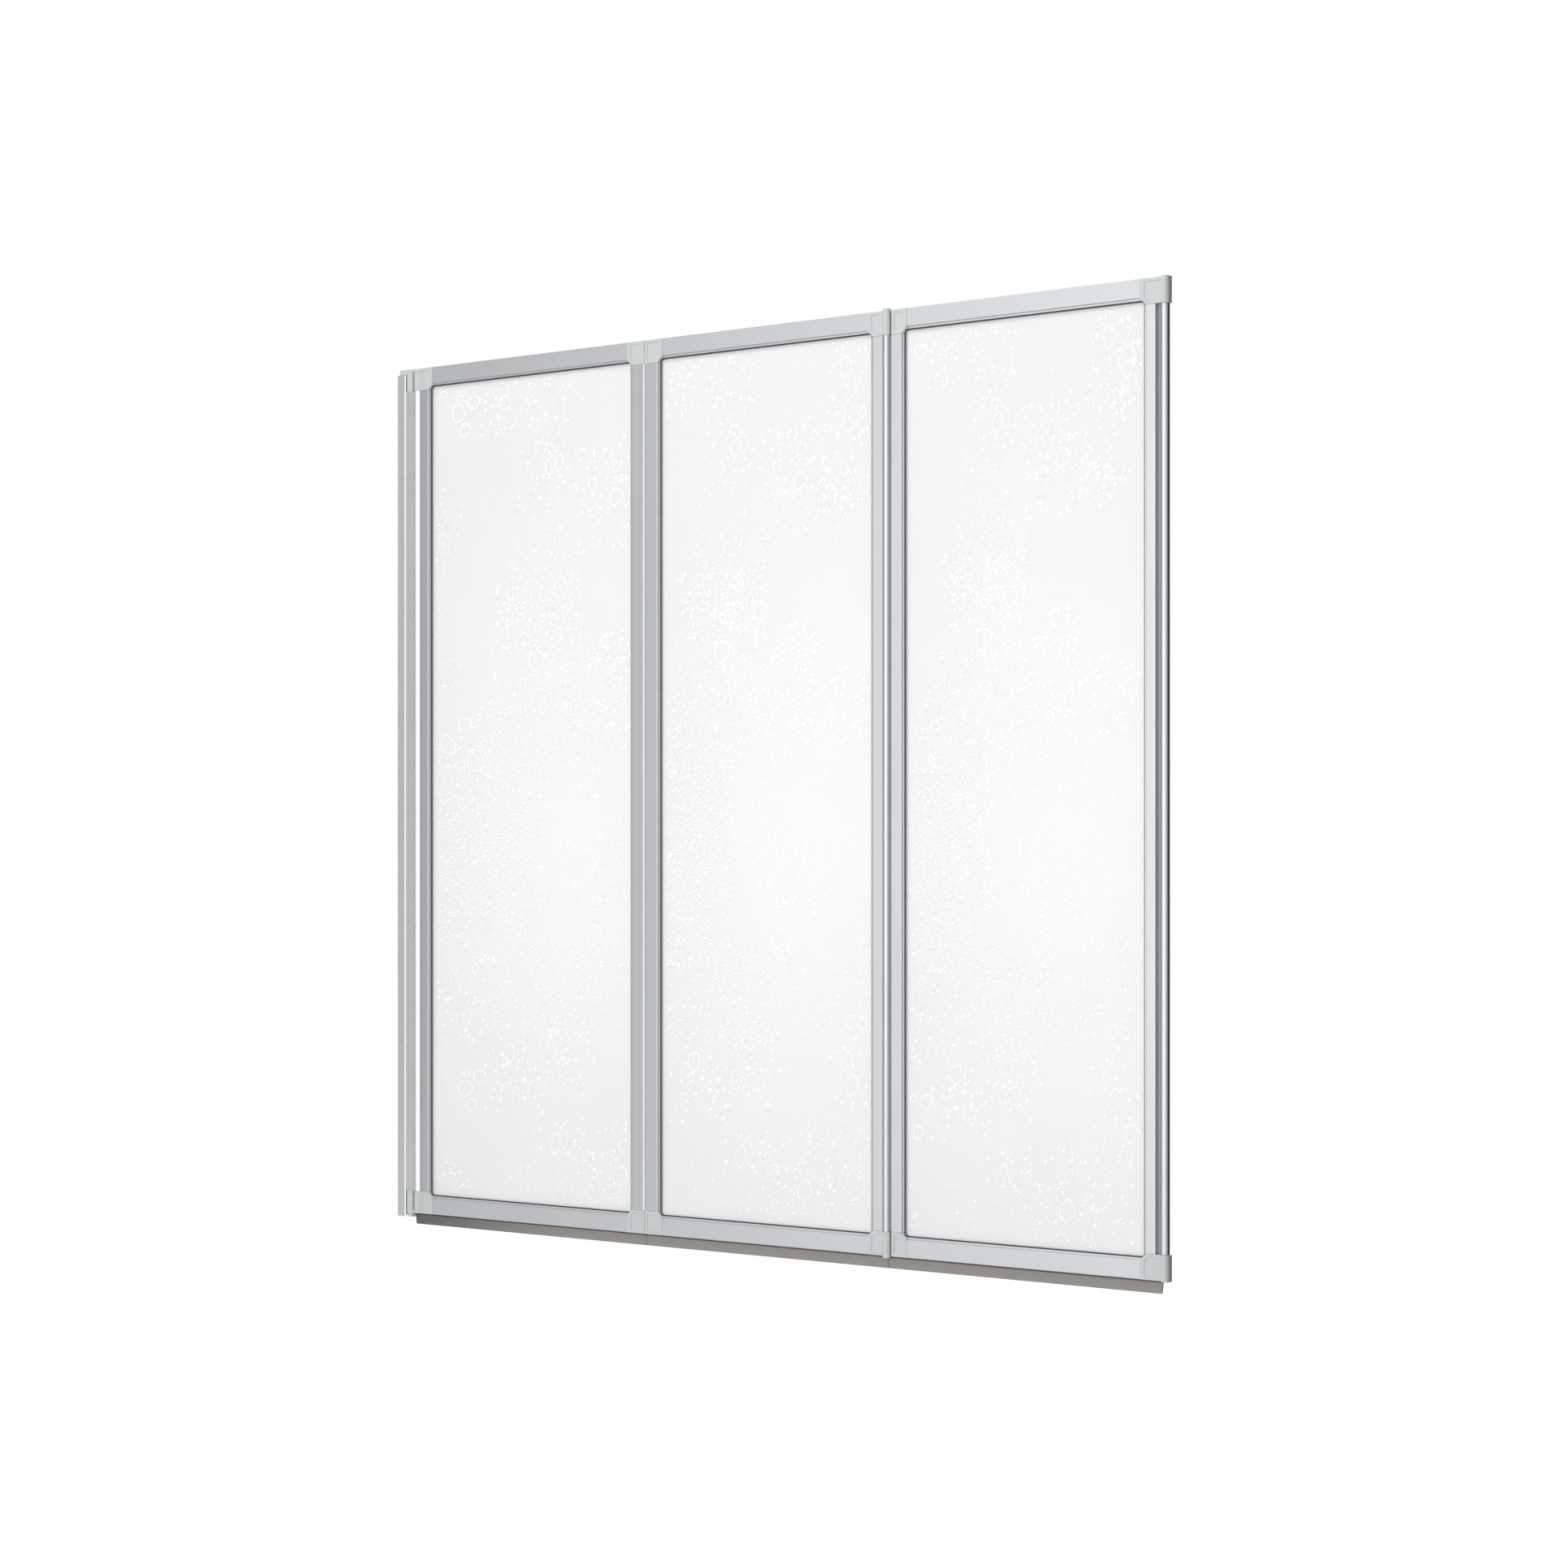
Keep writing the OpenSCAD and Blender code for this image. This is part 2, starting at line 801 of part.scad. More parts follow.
module panel_2_bottom_seal() {
    color(SEAL) difference() {
        bottom_seal(fold_1_x + fold_gap, fold_2_x - fold_gap, pane_2_x0 + corner_w, pane_2_x1 - corner_w, 0, 0);
        barrel_room(fold_2_x);
    }
}

module panel_2_corner_screws() {
    color(STEEL) {
        at_left(fold_1_x) at_corner_screws(pocket_w, fold_stile_w) screw(face_y, screw_in);
        at_right(fold_2_x) at_corner_screws(pocket_w, fold_stile_w) screw(face_y, screw_in);
    }
}

// ---------------------------------------------------------------- panel 3

pane_3_x0 = fold_2_x + fold_stile_w;
pane_3_x1 = end_x - end_stile_w;

module panel_3_left_stile() {
    color(ALUMINIUM) at_left(fold_2_x) {
        front_fold_stile();
        to_front() tube();
    }
}

module panel_3_right_stile() {
    color(ALUMINIUM) at_right(end_x) stile(grip_zone, end_stile_w) end_section();
}

module panel_3_top_rail() {
    color(ALUMINIUM) at_top() rail(pane_3_x0, pane_3_x1) rail_section();
}

module panel_3_bottom_rail() {
    color(ALUMINIUM) at_bottom() rail(pane_3_x0, pane_3_x1) slotted_rail_section();
}

module panel_3_corner_top_left() {
    color(GREY_PLASTIC) at_left(fold_2_x) at_top() front_tube_corner();
}

module panel_3_corner_top_right() {
    color(GREY_PLASTIC) at_right(end_x) at_top() end_corner();
}

module panel_3_corner_bottom_left() {
    color(GREY_PLASTIC) at_left(fold_2_x) at_bottom() front_tube_corner();
}

module panel_3_corner_bottom_right() {
    color(GREY_PLASTIC) at_right(end_x) at_bottom() end_corner();
}

module panel_3_pane() {
    color(PANE) pane(pane_3_x0, pane_3_x1);
}

module panel_3_glazing_strips() {
    color(STRIP) glazing_strips(pane_3_x0, pane_3_x1);
}

module panel_3_bottom_seal() {
    color(SEAL) difference() {
        bottom_seal(fold_2_x + fold_gap, end_x - end_w - 0.3, pane_3_x0 + corner_w, pane_3_x1 - corner_w, 0, 2);
        barrel_room(fold_2_x);
    }
}

module panel_3_corner_screws() {
    color(STEEL) {
        at_left(fold_2_x) at_corner_screws(pocket_w, fold_stile_w) screw(face_y, screw_in);
        at_right(end_x) at_corner_screws(grip_zone, end_stile_w) screw(face_y, screw_in);
    }
}

// ---------------------------------------------------------------- parts

wall_profile();
hinge_post();
post_cap_top();
post_cap_bottom();
adjusting_screws();
wall_pin_top();
wall_pin_bottom();
panel_1_left_stile();
panel_1_right_stile();
panel_1_top_rail();
panel_1_bottom_rail();
panel_1_corner_top_left();
panel_1_corner_top_right();
panel_1_corner_bottom_left();
panel_1_corner_bottom_right();
panel_1_pane();
panel_1_glazing_strips();
panel_1_bottom_seal();
panel_1_corner_screws();
fold_1_pin_top();
fold_1_pin_bottom();
panel_2_left_stile();
panel_2_right_stile();
panel_2_top_rail();
panel_2_bottom_rail();
panel_2_corner_top_left();
panel_2_corner_top_right();
panel_2_corner_bottom_left();
panel_2_corner_bottom_right();
panel_2_pane();
panel_2_glazing_strips();
panel_2_bottom_seal();
panel_2_corner_screws();
fold_2_pin_top();
fold_2_pin_bottom();
panel_3_left_stile();
panel_3_right_stile();
panel_3_top_rail();
panel_3_bottom_rail();
panel_3_corner_top_left();
panel_3_corner_top_right();
panel_3_corner_bottom_left();
panel_3_corner_bottom_right();
panel_3_pane();
panel_3_glazing_strips();
panel_3_bottom_seal();
panel_3_corner_screws();
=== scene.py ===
import math
import random

import bmesh
import bpy
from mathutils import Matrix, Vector


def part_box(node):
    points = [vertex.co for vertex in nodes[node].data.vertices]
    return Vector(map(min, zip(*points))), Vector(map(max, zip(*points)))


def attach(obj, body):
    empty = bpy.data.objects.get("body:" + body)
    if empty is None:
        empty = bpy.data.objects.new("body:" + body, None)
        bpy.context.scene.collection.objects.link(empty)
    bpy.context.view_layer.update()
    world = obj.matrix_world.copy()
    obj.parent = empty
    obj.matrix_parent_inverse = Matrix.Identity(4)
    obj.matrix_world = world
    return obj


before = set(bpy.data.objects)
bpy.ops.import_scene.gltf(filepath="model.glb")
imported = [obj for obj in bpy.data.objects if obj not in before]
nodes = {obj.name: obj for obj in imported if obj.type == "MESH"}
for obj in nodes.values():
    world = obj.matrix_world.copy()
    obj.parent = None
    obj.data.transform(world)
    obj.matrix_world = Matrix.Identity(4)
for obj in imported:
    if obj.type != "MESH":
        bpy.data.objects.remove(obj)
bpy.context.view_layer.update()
scene = bpy.context.scene
scene.view_settings.view_transform = "Standard"


# ---------------------------------------------------------------- shader nodes

def new_material(name):
    """A new material, its node tree and its surface shader."""
    m = bpy.data.materials.new(name)
    m.use_nodes = True
    return m, m.node_tree, m.node_tree.nodes["Principled BSDF"]


def feed(tree, socket, value):
    """Gives a socket another node's output, a colour or a number."""
    if isinstance(value, bpy.types.NodeSocket):
        tree.links.new(value, socket)
    elif isinstance(value, tuple):
        socket.default_value = (*value, 1)
    else:
        socket.default_value = value


def maths(tree, operation, *values):
    """Output of a Math node."""
    node = tree.nodes.new("ShaderNodeMath")
    node.operation = operation
    for socket, value in zip(node.inputs, values):
        feed(tree, socket, value)
    return node.outputs["Value"]


def place(tree, scale=(1, 1, 1)):
    """Object coordinates, stretched by scale."""
    coord = tree.nodes.new("ShaderNodeTexCoord")
    mapping = tree.nodes.new("ShaderNodeMapping")
    mapping.inputs["Scale"].default_value = scale
    tree.links.new(coord.outputs["Object"], mapping.inputs["Vector"])
    return mapping.outputs["Vector"]


def axes(tree, vector):
    """The X, Y and Z of a vector."""
    split = tree.nodes.new("ShaderNodeSeparateXYZ")
    tree.links.new(vector, split.inputs["Vector"])
    return split.outputs


def noise(tree, vector, scale, detail=2.0, rough=0.5):
    n = tree.nodes.new("ShaderNodeTexNoise")
    n.inputs["Scale"].default_value = scale
    n.inputs["Detail"].default_value = detail
    n.inputs["Roughness"].default_value = rough
    tree.links.new(vector, n.inputs["Vector"])
    return n.outputs["Fac"]


def remap(tree, value, lo, hi, from_lo=0.25, from_hi=0.75):
    """Value moved to the range lo to hi. Noise lies mostly between 0.25 and 0.75."""
    r = tree.nodes.new("ShaderNodeMapRange")
    r.inputs["From Min"].default_value = from_lo
    r.inputs["From Max"].default_value = from_hi
    r.inputs["To Min"].default_value = lo
    r.inputs["To Max"].default_value = hi
    tree.links.new(value, r.inputs["Value"])
    return r.outputs["Result"]


def blend(tree, factor, a, b):
    """Colour a where the factor is 0, b where it is 1."""
    mix = tree.nodes.new("ShaderNodeMix")
    mix.data_type = "RGBA"
    for socket, value in zip((mix.inputs[0], mix.inputs[6], mix.inputs[7]), (factor, a, b)):
        feed(tree, socket, value)
    return mix.outputs[2]


def tones(tree, grain, dark, light):
    """Colour that goes from dark to light with a noise."""
    return blend(tree, remap(tree, grain, 0.0, 1.0), dark, light)


def within(tree, value, lo, hi):
    """1 where value lies from lo to hi, else 0."""
    return maths(tree, "COMPARE", value, (lo + hi) / 2, (hi - lo) / 2)


def bump(tree, bsdf, height, strength, distance):
    b = tree.nodes.new("ShaderNodeBump")
    b.inputs["Strength"].default_value = strength
    b.inputs["Distance"].default_value = distance
    tree.links.new(height, b.inputs["Height"])
    tree.links.new(b.outputs["Normal"], bsdf.inputs["Normal"])


# ---------------------------------------------------------------- materials

# Fine grain of moulded pieces, and the strength and depth of its bump
MOULD_GRAIN = 2200.0
MOULD_BUMP = 0.12, 0.00004

# Places that the tones keep to
PANE_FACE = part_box("panel_1_pane")[1].y
SEAL_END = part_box("panel_1_bottom_seal")[0].x
RAIL_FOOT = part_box("panel_1_bottom_rail")[0].z
FOLD_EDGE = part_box("panel_1_right_stile")[1].x
GRIP_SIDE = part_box("panel_3_right_stile")[1].x


def extruded_aluminium(name, stretch, dark, light, rough, painted_bands=()):
    """Satin anodised extrusion with fine die lines along its length.

    Painted bands are upright stripes of painted highlight and painted shade: left, right and colour.
    """
    m, tree, bsdf = new_material(name)
    lines = noise(tree, place(tree, stretch), 1.0, 3.0, 0.6)
    cloud = noise(tree, place(tree, (9, 9, 9)), 1.0)
    tone = tones(tree, lines, dark, light)
    # Each painted band puts its painted tone, highlight and shade alike, over the die-line tone
    for left, right, colour in painted_bands:
        across = axes(tree, place(tree))["X"]
        tone = blend(tree, within(tree, across, left, right), tone, colour)
    tree.links.new(tone, bsdf.inputs["Base Color"])
    tree.links.new(remap(tree, cloud, rough - 0.02, rough + 0.02), bsdf.inputs["Roughness"])
    bsdf.inputs["Metallic"].default_value = 0.85
    bump(tree, bsdf, lines, 0.06, 0.00005)
    return m


def moulded_plastic(name, dark, light, rough):
    m, tree, bsdf = new_material(name)
    fine = noise(tree, place(tree), MOULD_GRAIN, 2.0, 0.6)
    cloud = noise(tree, place(tree), 35.0)
    tree.links.new(tones(tree, cloud, dark, light), bsdf.inputs["Base Color"])
    tree.links.new(remap(tree, fine, rough - 0.04, rough + 0.04), bsdf.inputs["Roughness"])
    bump(tree, bsdf, fine, *MOULD_BUMP)
    return m


def seal_material(name, dark, light):
    """Soft grained strip with painted shade: darkest towards the wall end, and a painted shadow where it
    leaves the rail.
    """
    m, tree, bsdf = new_material(name)
    grain = noise(tree, place(tree), 900.0, 3.0, 0.7)
    spot = axes(tree, place(tree))
    # Painted shade: darker towards the wall end, and a painted shadow just below the rail foot
    wall_end_painted_shade = remap(tree, spot["X"], 0.36, 1.0, SEAL_END, SEAL_END + 0.27)
    rail_painted_shadow = remap(tree, spot["Z"], 1.0, 0.18, RAIL_FOOT - 0.0024, RAIL_FOOT - 0.0016)
    shade = maths(tree, "MULTIPLY", wall_end_painted_shade, rail_painted_shadow)
    tone = maths(tree, "MULTIPLY", shade, remap(tree, grain, 0.78, 1.0))
    tree.links.new(blend(tree, tone, dark, light), bsdf.inputs["Base Color"])
    bsdf.inputs["Roughness"].default_value = 0.55
    bump(tree, bsdf, grain, 0.25, 0.0001)
    return m


def strip_material(name, dark, light, painted_highlight):
    """Glazing strip with a painted highlight line along the inner side of its upright runs; its near-black
    tone is dark rubber deepened by painted shade.
    """
    m, tree, bsdf = new_material(name)
    fine = noise(tree, place(tree), MOULD_GRAIN, 2.0, 0.6)
    coord = tree.nodes.new("ShaderNodeTexCoord")
    depth = maths(tree, "ABSOLUTE", axes(tree, coord.outputs["Object"])["Y"])
    sideways = maths(tree, "ABSOLUTE", axes(tree, coord.outputs["Normal"])["X"])
    # Painted highlight: a pale line on the upright runs, just in front of the pane
    near_pane = within(tree, depth, PANE_FACE + 0.0008, PANE_FACE + 0.0018)
    upright = within(tree, sideways, 0.7, 1.3)
    painted_line = maths(tree, "MULTIPLY", near_pane, upright)
    tone = blend(tree, painted_line, tones(tree, fine, dark, light), painted_highlight)
    tree.links.new(tone, bsdf.inputs["Base Color"])
    bsdf.inputs["Roughness"].default_value = 0.55
    bump(tree, bsdf, fine, *MOULD_BUMP)
    return m


def brushed_steel(name, dark, light):
    m, tree, bsdf = new_material(name)
    lines = noise(tree, place(tree, (3000, 3000, 60)), 1.0)
    tree.links.new(tones(tree, lines, dark, light), bsdf.inputs["Base Color"])
    tree.links.new(remap(tree, lines, 0.24, 0.36), bsdf.inputs["Roughness"])
    bsdf.inputs["Metallic"].default_value = 1.0
    return m


def pane_material(name, dim, bright):
    """Translucent white sheet with a painted pool of light: a little brighter round one spot, given as shares
    of its width and height.
    """
    spot_x, spot_z = 0.66, 0.40
    narrow, flat = 0.85, 1.75
    m, tree, bsdf = new_material(name)
    coord = tree.nodes.new("ShaderNodeTexCoord")
    mapping = tree.nodes.new("ShaderNodeMapping")
    mapping.inputs["Location"].default_value = (-spot_x * narrow, 0, -spot_z * flat)
    mapping.inputs["Scale"].default_value = (narrow, 0, flat)
    tree.links.new(coord.outputs["Generated"], mapping.inputs["Vector"])
    # Painted light: a spherical pool of brightness round the spot lightens the colour
    painted_light_pool = tree.nodes.new("ShaderNodeTexGradient")
    painted_light_pool.gradient_type = "SPHERICAL"
    tree.links.new(mapping.outputs["Vector"], painted_light_pool.inputs["Vector"])
    cloud = noise(tree, place(tree), 7.0)
    total = maths(tree, "MULTIPLY_ADD", cloud, 0.30, painted_light_pool.outputs["Fac"])
    glow = remap(tree, total, 0.0, 1.0, 0.20, 1.05)
    tree.links.new(blend(tree, glow, dim, bright), bsdf.inputs["Base Color"])
    bump(tree, bsdf, noise(tree, place(tree), 260.0), 0.10, 0.0002)
    bsdf.inputs["Roughness"].default_value = 0.45
    bsdf.inputs["Alpha"].default_value = 0.86
    bsdf.inputs["Specular IOR Level"].default_value = 0.3
    return m


def drop_material(name, dim, bright):
    m, tree, bsdf = new_material(name)
    cloud = noise(tree, place(tree), 90.0)
    tree.links.new(tones(tree, cloud, dim, bright), bsdf.inputs["Base Color"])
    tree.links.new(remap(tree, cloud, 0.30, 0.42), bsdf.inputs["Roughness"])
    bsdf.inputs["Specular IOR Level"].default_value = 0.3
    return m


# Stretch of the die lines, for extrusions that stand and that lie
STANDING, LYING = (2600, 2600, 5), (5, 2600, 2600)
UPRIGHT = STANDING, (0.450, 0.461, 0.475), (0.488, 0.500, 0.515), 0.34

# A painted highlight on the edge beside the first fold, and painted shade in the groove between the last face
# and the grip
fold_painted_highlight = (FOLD_EDGE - 0.0017, FOLD_EDGE + 0.0001, (0.93, 0.93, 0.94))
groove_painted_shade = (GRIP_SIDE - 0.0150, GRIP_SIDE - 0.0110, (0.375, 0.384, 0.396))

alu_upright = extruded_aluminium("aluminium_upright", *UPRIGHT)
alu_fold = extruded_aluminium("aluminium_fold", *UPRIGHT, painted_bands=[fold_painted_highlight])
alu_grip = extruded_aluminium("aluminium_grip", *UPRIGHT, painted_bands=[groove_painted_shade])
alu_level = extruded_aluminium("aluminium_level", LYING, (0.470, 0.482, 0.496), (0.510, 0.523, 0.538), 0.44)
alu_wall = extruded_aluminium("aluminium_wall", STANDING, (0.655, 0.663, 0.671), (0.695, 0.703, 0.711), 0.22)
corner_grey = moulded_plastic("corner_plastic", (0.535, 0.554, 0.555), (0.574, 0.594, 0.596), 0.34)
# Glazing strip tones: near black, dark rubber deepened by painted shade; the last colour is the painted
# highlight line
strip_dark = strip_material("glazing_strip", (0.018, 0.018, 0.018), (0.030, 0.030, 0.030), (0.80, 0.80, 0.81))
seal_taupe = seal_material("bottom_seal", (0.012, 0.011, 0.010), (0.290, 0.276, 0.256))
steel = brushed_steel("steel", (0.50, 0.50, 0.51), (0.62, 0.62, 0.63))
pane_white = pane_material("pane", (0.890, 0.890, 0.895), (0.985, 0.985, 0.985))
drop_white = drop_material("raindrops", (0.955, 0.955, 0.955), (0.985, 0.985, 0.985))


def material_for(name):
    """The material of a CAD node, by its name."""
    if name.endswith("pane"):
        return pane_white
    if "strips" in name:
        return strip_dark
    if "seal" in name:
        return seal_taupe
    if "screws" in name or "pin_" in name:
        return steel
    if "cap" in name or "corner" in name:
        return corner_grey
    if "rail" in name:
        return alu_level
    if name in ("wall_profile", "hinge_post"):
        return alu_wall
    if name == "panel_1_right_stile":
        return alu_fold
    if name == "panel_3_right_stile":
        return alu_grip
    return alu_upright


for name, obj in nodes.items():
    obj.data.materials.clear()
    obj.data.materials.append(material_for(name))


# ---------------------------------------------------------------- raindrops

SEED = 7
# Millimetres in a metre
MM = 1000
# Clear width along the frame, and how far a drop reaches as a share of its half length
EDGE = 0.004
REACH = 1.25
# Height of a drop's outer edge, a little inside the pane
SINK = -0.0001
# How near two drops come, as a share of their half lengths together
CROWD = 0.85
# How far a shower spills over its edges, across and down
SPILL = 9, 8
# A rimmed drop's ridge: height over the pane, and millimetres out from its line
RIDGE = ((SINK, 1.35), (0.00030, 0.75), (0.00045, 0.0), (0.00030, -0.75), (SINK, -1.35))

# The sheet's pattern, in millimetres across and down.
# Showers: left, right, top, bottom, count, smallest and largest half length, flatness, turn in degrees
SHOWERS = [
    (100, 260, 5, 75, 120, 1.7, 4.2, 0.75, 25), (20, 70, 5, 20, 10, 1.7, 3.0, 0.75, 20),
    (405, 480, 0, 130, 75, 2.0, 5.4, 0.85, 80), (180, 255, 90, 170, 42, 1.7, 4.4, 0.70, 30),
    (270, 450, 95, 245, 200, 1.7, 4.2, 0.80, 10), (385, 425, 190, 220, 12, 3.0, 5.2, 0.90, 40),
    (5, 38, 150, 250, 52, 1.7, 3.6, 0.65, 60), (0, 20, 255, 330, 18, 1.7, 3.2, 0.60, 70),
    (150, 240, 170, 220, 18, 1.7, 3.2, 0.70, 40), (190, 260, 225, 260, 26, 1.7, 3.6, 0.70, 40),
    (150, 285, 255, 330, 125, 1.7, 3.8, 0.65, 30), (130, 275, 300, 385, 165, 1.9, 4.8, 0.70, 30),
    (5, 55, 385, 430, 34, 1.7, 4.0, 0.60, 30), (295, 370, 370, 430, 60, 2.2, 6.4, 0.60, 10),
    (120, 300, 400, 470, 150, 1.7, 4.4, 0.55, 25), (310, 480, 430, 520, 130, 1.9, 6.0, 0.70, 20),
    (60, 320, 460, 545, 260, 1.7, 4.8, 0.50, 25), (5, 215, 520, 640, 400, 2.2, 5.2, 0.42, 25),
    (5, 205, 620, 720, 340, 2.2, 5.6, 0.42, 25), (5, 205, 700, 800, 300, 2.2, 5.2, 0.42, 25),
    (240, 440, 540, 620, 90, 1.6, 3.2, 0.60, 30), (250, 420, 640, 740, 150, 1.7, 3.6, 0.70, 30),
    (60, 300, 780, 870, 230, 1.9, 5.0, 0.45, 25), (300, 470, 760, 880, 160, 1.7, 4.2, 0.60, 30),
    (10, 110, 840, 930, 55, 2.0, 5.0, 0.65, 40), (110, 300, 860, 920, 90, 1.9, 4.8, 0.50, 25),
    (110, 205, 930, 1020, 62, 2.2, 4.8, 0.75, 50), (215, 295, 895, 985, 82, 1.9, 5.2, 0.65, 35),
    (400, 485, 900, 1050, 60, 1.9, 4.4, 0.75, 60), (190, 275, 1025, 1080, 28, 1.7, 4.2, 0.70, 30),
    (275, 470, 1025, 1140, 150, 1.7, 4.2, 0.75, 20), (15, 60, 1095, 1145, 26, 1.9, 4.4, 0.60, 40),
    (120, 320, 1080, 1148, 62, 1.7, 3.6, 0.65, 40), (0, 480, 0, 1150, 260, 1.2, 2.2, 0.70, 30),
]

# Large drops with a raised rim: across, down, half length, flatness, turn in degrees
RINGS = [
    (22, 14, 6, 0.80, 0), (50, 43, 12.5, 0.95, -60), (79, 30, 11, 0.80, 0), (53, 22, 6, 0.70, 10),
    (63, 68, 10, 0.90, 20), (223, 129, 12.5, 0.66, 75), (239, 127, 12.5, 0.42, 80), (343, 140, 9, 0.60, 40),
    (341, 180, 12.5, 0.82, 70), (423, 39, 13, 0.78, 85), (455, 79, 10, 0.90, 60), (442, 60, 6, 0.80, 60),
    (452, 100, 7, 0.75, 80), (199, 353, 6, 0.85, 0), (197, 398, 14.5, 0.85, 30), (211, 422, 10, 0.58, 10),
    (324, 430, 12, 0.55, 40), (354, 479, 13, 0.72, 85), (209, 463, 8, 0.75, 60), (61, 483, 12, 0.78, 0),
    (30, 512, 15, 0.75, -45), (107, 504, 9, 0.60, 5), (87, 511, 6.5, 0.60, 0), (77, 537, 14.5, 0.68, -65),
    (53, 539, 9, 0.70, 10), (101, 550, 7.5, 0.65, -40), (61, 730, 8, 0.75, 0), (305, 730, 7, 0.90, 0),
    (302, 776, 15, 0.82, 40), (315, 799, 10, 0.60, 15), (13, 829, 9, 0.85, 80), (43, 831, 5.5, 0.80, 0),
    (82, 827, 6.5, 0.80, 60), (430, 882, 9, 0.75, 80), (452, 884, 7.5, 0.80, 80), (146, 943, 13, 0.78, 75),
    (434, 964, 13.5, 0.75, 75), (462, 1003, 11, 0.90, 70), (90, 979, 11.5, 0.70, 10), (66, 976, 6, 0.70, 0),
    (63, 997, 13, 0.85, 20), (75, 1019, 10, 0.80, 20), (232, 1065, 14, 0.64, 75), (249, 1061, 13.5, 0.36, 82),
    (352, 1061, 9, 0.60, 50), (349, 1103, 14, 0.80, 60),
]

# The part of the sheet on each pane: panel, where it starts across the sheet, and how far it is narrowed
CUTS = ((1, 0, 1.0), (2, 84, 0.906), (3, 51, 0.81))


def outline(rng, sides, wobble):
    """Radii round an uneven drop, as shares of its half length."""
    full_turn = 6.3
    a, b = rng.uniform(0, full_turn), rng.uniform(0, full_turn)
    out = []
    for i in range(sides):
        t = 2 * math.pi * i / sides
        out.append(1 + wobble * math.sin(3 * t + a) + wobble * 0.7 * math.sin(2 * t + b))
    return out


def around(x, z, r, radii, flat, turn, k):
    """Points round a drop at (x, z), at k times its size."""
    pts = []
    for i, q in enumerate(radii):
        t = 2 * math.pi * i / len(radii)
        u, w = r * k * q * math.cos(t), r * k * q * math.sin(t) * flat
        pts.append((x + u * math.cos(turn) - w * math.sin(turn), z + u * math.sin(turn) + w * math.cos(turn)))
    return pts


def add_form(bm, rows, peak, to_pane):
    """Joins rows of points, each at its height, into a low form on both faces of the pane.

    A peak closes the form at its middle. Without one it stays a ridge with an open middle.
    """
    n = len(rows[0][1])
    for side in (-1, 1):
        made, faces = [], []
        for y, pts in rows:
            made.append([bm.verts.new(to_pane(x, side * (PANE_FACE + y), z)) for x, z in pts])
        for p, q in zip(made, made[1:]):
            faces += [(p[i], p[(i + 1) % n], q[(i + 1) % n], q[i]) for i in range(n)]
        if peak:
            x, z, y = peak
            top = bm.verts.new(to_pane(x, side * (PANE_FACE + y), z))
            faces += [(made[-1][i], made[-1][(i + 1) % n], top) for i in range(n)]
        for face in faces:
            bm.faces.new(face[::-1] if side > 0 else face)


def sheet_pattern():
    """Every drop of the sheet: across, down, half length, outline, flatness, turn, and if it has a rim."""
    cell = 12
    rim_sides, rim_wobble = 28, 0.075
    tries_each, wobble, flatness_spread, turn_spread = 12, 0.13, 0.12, 16
    rng = random.Random(SEED)
    out, taken = [], {}

    def free(x, z, r):
        """Claims a place, unless a drop is there."""
        cx, cz = int(x // cell), int(z // cell)
        for i in range(cx - 2, cx + 3):
            for j in range(cz - 2, cz + 3):
                for u, w, q in taken.get((i, j), ()):
                    if (u - x) ** 2 + (w - z) ** 2 < (CROWD * (r + q)) ** 2:
                        return False
        taken.setdefault((cx, cz), []).append((x, z, r))
        return True

    for x, z, r, flat, turn in RINGS:
        free(x, z, r * 1.1)
        out.append((x, z, r, outline(rng, rim_sides, rim_wobble), flat, math.radians(turn), True))
    for x0, x1, z0, z1, count, small, large, flat, turn in SHOWERS:
        made = tries = 0
        while made < count and tries < count * tries_each:
            tries += 1
            x = rng.uniform(x0, x1) + rng.gauss(0, SPILL[0])
            z = rng.uniform(z0, z1) + rng.gauss(0, SPILL[1])
            r = small + (large - small) * rng.random() ** 2.2
            if not free(x, z, r):
                continue
            sides = 7 if r < 2.6 else 10
            squeeze = min(1.0, max(0.32, rng.gauss(flat, flatness_spread)))
            radii = outline(rng, sides, wobble)
            out.append((x, z, r, radii, squeeze, math.radians(rng.gauss(turn, turn_spread)), False))
            made += 1
    return out


def raindrop_mesh(name, pattern, start, stretch, width, height):
    """The part of the pattern that falls on one pane, from its upper left corner."""
    bm = bmesh.new()

    def to_pane(x, y, z):
        return Vector(((x - start) * stretch / MM, y, -z / MM))

    for x, z, r, radii, flat, turn, rim in pattern:
        c = to_pane(x, 0, z)
        reach = r * REACH / MM + EDGE
        if not (reach < c.x < width - reach and reach < -c.z < height - reach):
            continue
        if rim:
            steps, peak = [(y, 1 + beyond / r) for y, beyond in RIDGE], None
        else:
            rise = min(0.0006, 0.00018 + 0.00008 * r)
            steps, peak = [(SINK, 1.0), (0.7 * rise, 0.70)], (x, z, rise)
        rows = [(y, around(x, z, r, radii, flat, -turn, k)) for y, k in steps]
        add_form(bm, rows, peak, to_pane)
    mesh = bpy.data.meshes.new(name)
    bm.to_mesh(mesh)
    bm.free()
    mesh.materials.append(drop_white)
    for p in mesh.polygons:
        p.use_smooth = True
    return mesh


